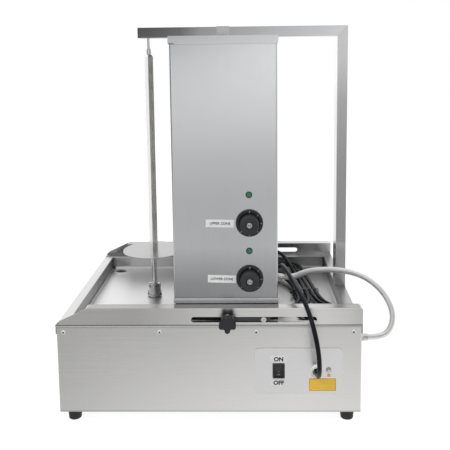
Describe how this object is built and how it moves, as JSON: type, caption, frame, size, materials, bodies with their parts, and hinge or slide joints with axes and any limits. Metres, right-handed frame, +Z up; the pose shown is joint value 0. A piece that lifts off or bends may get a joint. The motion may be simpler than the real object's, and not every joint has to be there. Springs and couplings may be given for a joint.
{
  "type": "vertical kebab grill",
  "caption": "Countertop vertical kebab grill: a steel base with drip tray, a turning skewer on a gallows frame, and a sliding heater housing with two knobs.",
  "frame": {"origin": "on the table, under the middle of the base", "axes": "+Z up, -Y towards the control side, +X towards the side with the post"},
  "size_m": [0.6085, 0.515, 0.7112],
  "materials": {
    "brushed_steel": "brushed",
    "rail_steel": "brushed",
    "tray_steel": "satin",
    "drawer_steel": "brushed",
    "panel_steel": "brushed",
    "plate_steel": "satin",
    "tube_steel": "brushed",
    "skewer_steel": "brushed",
    "disc_steel": "brushed",
    "socket_steel": "turned",
    "bright_steel": "polished",
    "galvanised_sheet": "galvanised",
    "reflector_sheet": "satin",
    "element_sheath": "oxidised",
    "guard_wire": "bright",
    "ceramic": "matte",
    "cast_housing": "cast",
    "bronze_bush": "turned",
    "knob_plastic": "satin",
    "knob_insert": "satin",
    "lamp_lens": "gloss",
    "label_film": "matte",
    "switch_film": "matte",
    "rating_film": "satin",
    "regulator_body": "moulded",
    "switch_plastic": "satin",
    "grommet_plastic": "moulded",
    "terminal_metal": "satin",
    "gland_nickel": "satin",
    "conduit_metal": "satin",
    "cord_jacket": "satin",
    "plug_rubber": "moulded",
    "tie_nylon": "satin",
    "black_rubber": "moulded"
  },
  "bodies": {
    "base": {"base_shell": "brushed_steel", "bottom_plate": "galvanised_sheet", "feet": "black_rubber", "top_frame": "brushed_steel", "near_rail": "rail_steel", "far_rail": "rail_steel", "drip_tray": "tray_steel", "motor_bracket": "galvanised_sheet", "gear_motor": "cast_housing", "shaft_bush": "bronze_bush", "post": "tube_steel", "top_bar": "tube_steel", "bar_bush": "bronze_bush", "bar_clip": "tube_steel", "base_gland": "gland_nickel", "access_plate": "plate_steel", "rocker_bezel": "switch_plastic", "switch_labels": "switch_film", "rating_plate": "rating_film", "cable_grommet": "grommet_plastic", "earth_terminal": "terminal_metal", "terminal_block": "regulator_body", "case_fasteners": "bright_steel", "power_cord": "cord_jacket", "cord_hank": "cord_jacket", "cord_tail": "cord_jacket", "cord_tie": "tie_nylon", "plug": "plug_rubber"},
    "drawer": {"grease_drawer": "drawer_steel"},
    "drive": {"drive_shaft": "bright_steel", "drive_socket": "socket_steel", "socket_screws": "bright_steel"},
    "skewer": {"skewer_rod": "bright_steel", "skewer_tube": "skewer_steel", "top_collar": "bright_steel", "meat_disc": "disc_steel"},
    "heater": {"housing_shell": "panel_steel", "housing_cover": "panel_steel", "housing_floor": "panel_steel", "heat_reflector": "reflector_sheet", "lower_element": "element_sheath", "upper_element": "element_sheath", "element_holders": "ceramic", "guard_grille": "guard_wire", "near_carriage": "rail_steel", "far_carriage": "rail_steel", "clamp_stud": "bright_steel", "guide_bolts": "bright_steel", "upper_regulator": "regulator_body", "lower_regulator": "regulator_body", "pilot_lamps": "lamp_lens", "zone_labels": "label_film", "housing_gland": "gland_nickel", "conduit": "conduit_metal"},
    "clamp_knob": {"star_knob": "knob_plastic"},
    "upper_dial": {"upper_knob": "knob_plastic", "upper_knob_face": "knob_insert"},
    "lower_dial": {"lower_knob": "knob_plastic", "lower_knob_face": "knob_insert"},
    "rocker": {"rocker_switch": "switch_plastic"}
  },
  "joints": [
    {"name": "heater_slide", "type": "slide", "parent": "base", "child": "heater", "axis": [1, 0, 0], "range_m": [-0.052, 0.005], "deforming": ["conduit"]},
    {"name": "drawer_pull", "type": "slide", "parent": "base", "child": "drawer", "axis": [0, 1, 0], "range_m": [0, 0.12]},
    {"name": "skewer_drive", "type": "hinge", "parent": "base", "child": "drive", "pos_m": [-0.125, 0.006, 0.17], "axis": [0, 0, 1], "continuous": true},
    {"name": "skewer_lift", "type": "slide", "parent": "drive", "child": "skewer", "axis": [0, 0, 1], "range_m": [0, 0.018]},
    {"name": "clamp_turn", "type": "hinge", "parent": "heater", "child": "clamp_knob", "pos_m": [0.034, -0.23, 0.193], "axis": [0, -1, 0], "continuous": true},
    {"name": "upper_dial_turn", "type": "hinge", "parent": "heater", "child": "upper_dial", "pos_m": [0.0735, -0.2, 0.3604], "axis": [0, 1, 0], "range_deg": [0, 270]},
    {"name": "lower_dial_turn", "type": "hinge", "parent": "heater", "child": "lower_dial", "pos_m": [0.0735, -0.2, 0.26], "axis": [0, 1, 0], "range_deg": [0, 270]},
    {"name": "rocker_tilt", "type": "hinge", "parent": "base", "child": "rocker", "pos_m": [0.1229, -0.213, 0.0993], "axis": [1, 0, 0], "range_deg": [0, 16]}
  ]
}
